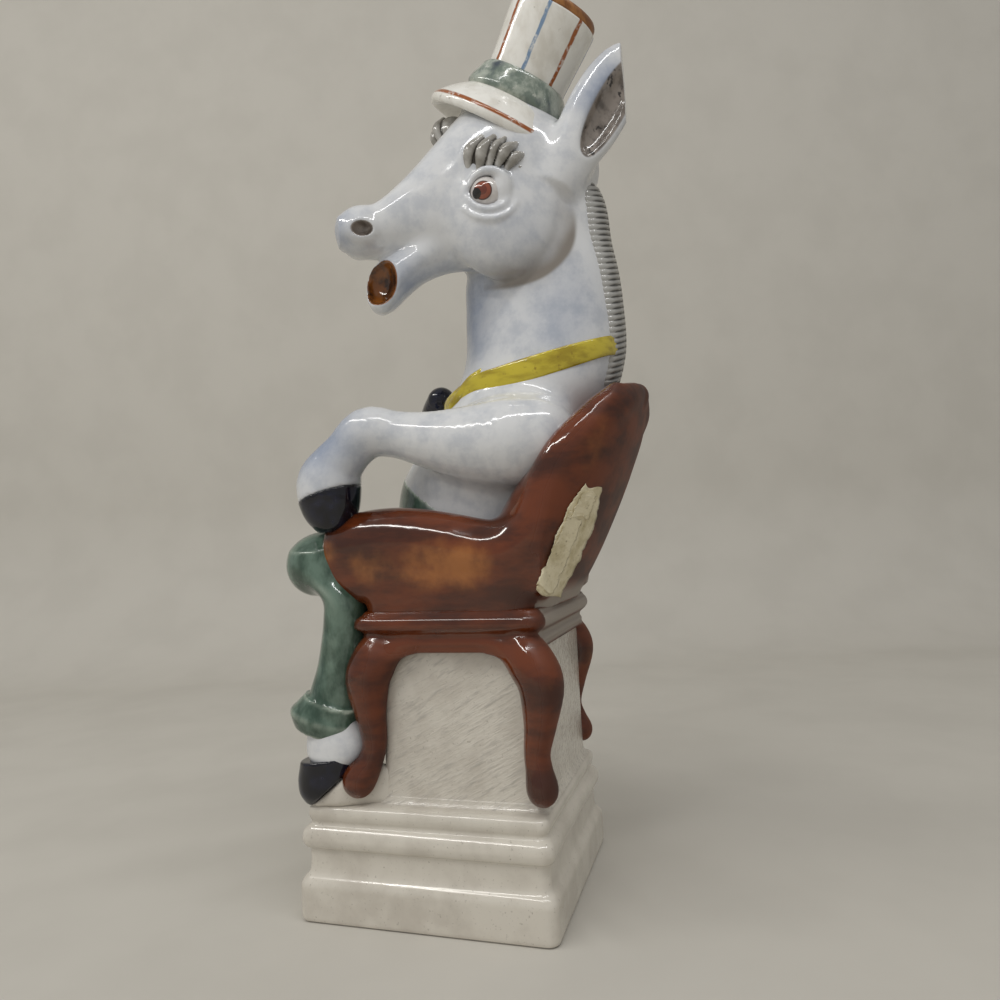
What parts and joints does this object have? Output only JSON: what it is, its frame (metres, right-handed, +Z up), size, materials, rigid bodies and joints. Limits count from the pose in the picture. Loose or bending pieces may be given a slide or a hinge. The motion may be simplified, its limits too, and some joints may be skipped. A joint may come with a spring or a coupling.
{
  "type": "figural liquor decanter",
  "caption": "Glazed ceramic decanter shaped as a donkey in a top hat sitting in a tub armchair on a stepped square pedestal, with a corked stopper in the hat.",
  "frame": {"origin": "centre of the flat underside of the square pedestal", "axes": "+Z up, -Y the way the chair faces, +X to the donkey's left"},
  "size_m": [0.0894, 0.1252, 0.3111],
  "materials": {
    "ivory_glaze": "gloss",
    "brown_glaze": "gloss",
    "green_glaze": "gloss",
    "hide_glaze": "gloss",
    "navy_glaze": "gloss",
    "eye_glaze": "gloss",
    "hair_glaze": "gloss",
    "yellow_glaze": "gloss",
    "hat_glaze": "gloss",
    "band_glaze": "gloss",
    "cap_wood": "satin",
    "cork": "matte",
    "paper": "matte"
  },
  "bodies": {
    "decanter": {"pedestal_base": "ivory_glaze", "pedestal_die": "ivory_glaze", "seat_rail": "brown_glaze", "front_left_leg": "brown_glaze", "front_right_leg": "brown_glaze", "rear_left_leg": "brown_glaze", "rear_right_leg": "brown_glaze", "chair_seat": "brown_glaze", "chair_back": "brown_glaze", "left_chair_arm": "brown_glaze", "right_chair_arm": "brown_glaze", "trouser_waist": "green_glaze", "left_trouser_leg": "green_glaze", "right_trouser_leg": "green_glaze", "left_fetlock": "hide_glaze", "right_fetlock": "hide_glaze", "left_hind_hoof": "navy_glaze", "right_hind_hoof": "navy_glaze", "torso": "hide_glaze", "neck": "hide_glaze", "left_foreleg": "hide_glaze", "right_foreleg": "hide_glaze", "left_fore_hoof": "navy_glaze", "right_fore_hoof": "navy_glaze", "head": "hide_glaze", "lower_jaw": "hide_glaze", "left_eye": "eye_glaze", "right_eye": "eye_glaze", "left_brow": "hair_glaze", "right_brow": "hair_glaze", "left_ear": "hide_glaze", "right_ear": "hide_glaze", "mane": "hair_glaze", "neck_ribbon": "yellow_glaze", "ribbon_knot": "yellow_glaze", "hat_brim": "hat_glaze", "hat_band": "band_glaze", "hat_crown": "hat_glaze", "paper_strip": "paper"},
    "stopper": {"stopper_cap": "cap_wood", "stopper_cork": "cork"}
  },
  "joints": [
    {"name": "stopper_pull", "type": "slide", "parent": "decanter", "child": "stopper", "axis": [0.1712, 0.5419, 0.8228], "range_m": [0, 0.034]}
  ]
}
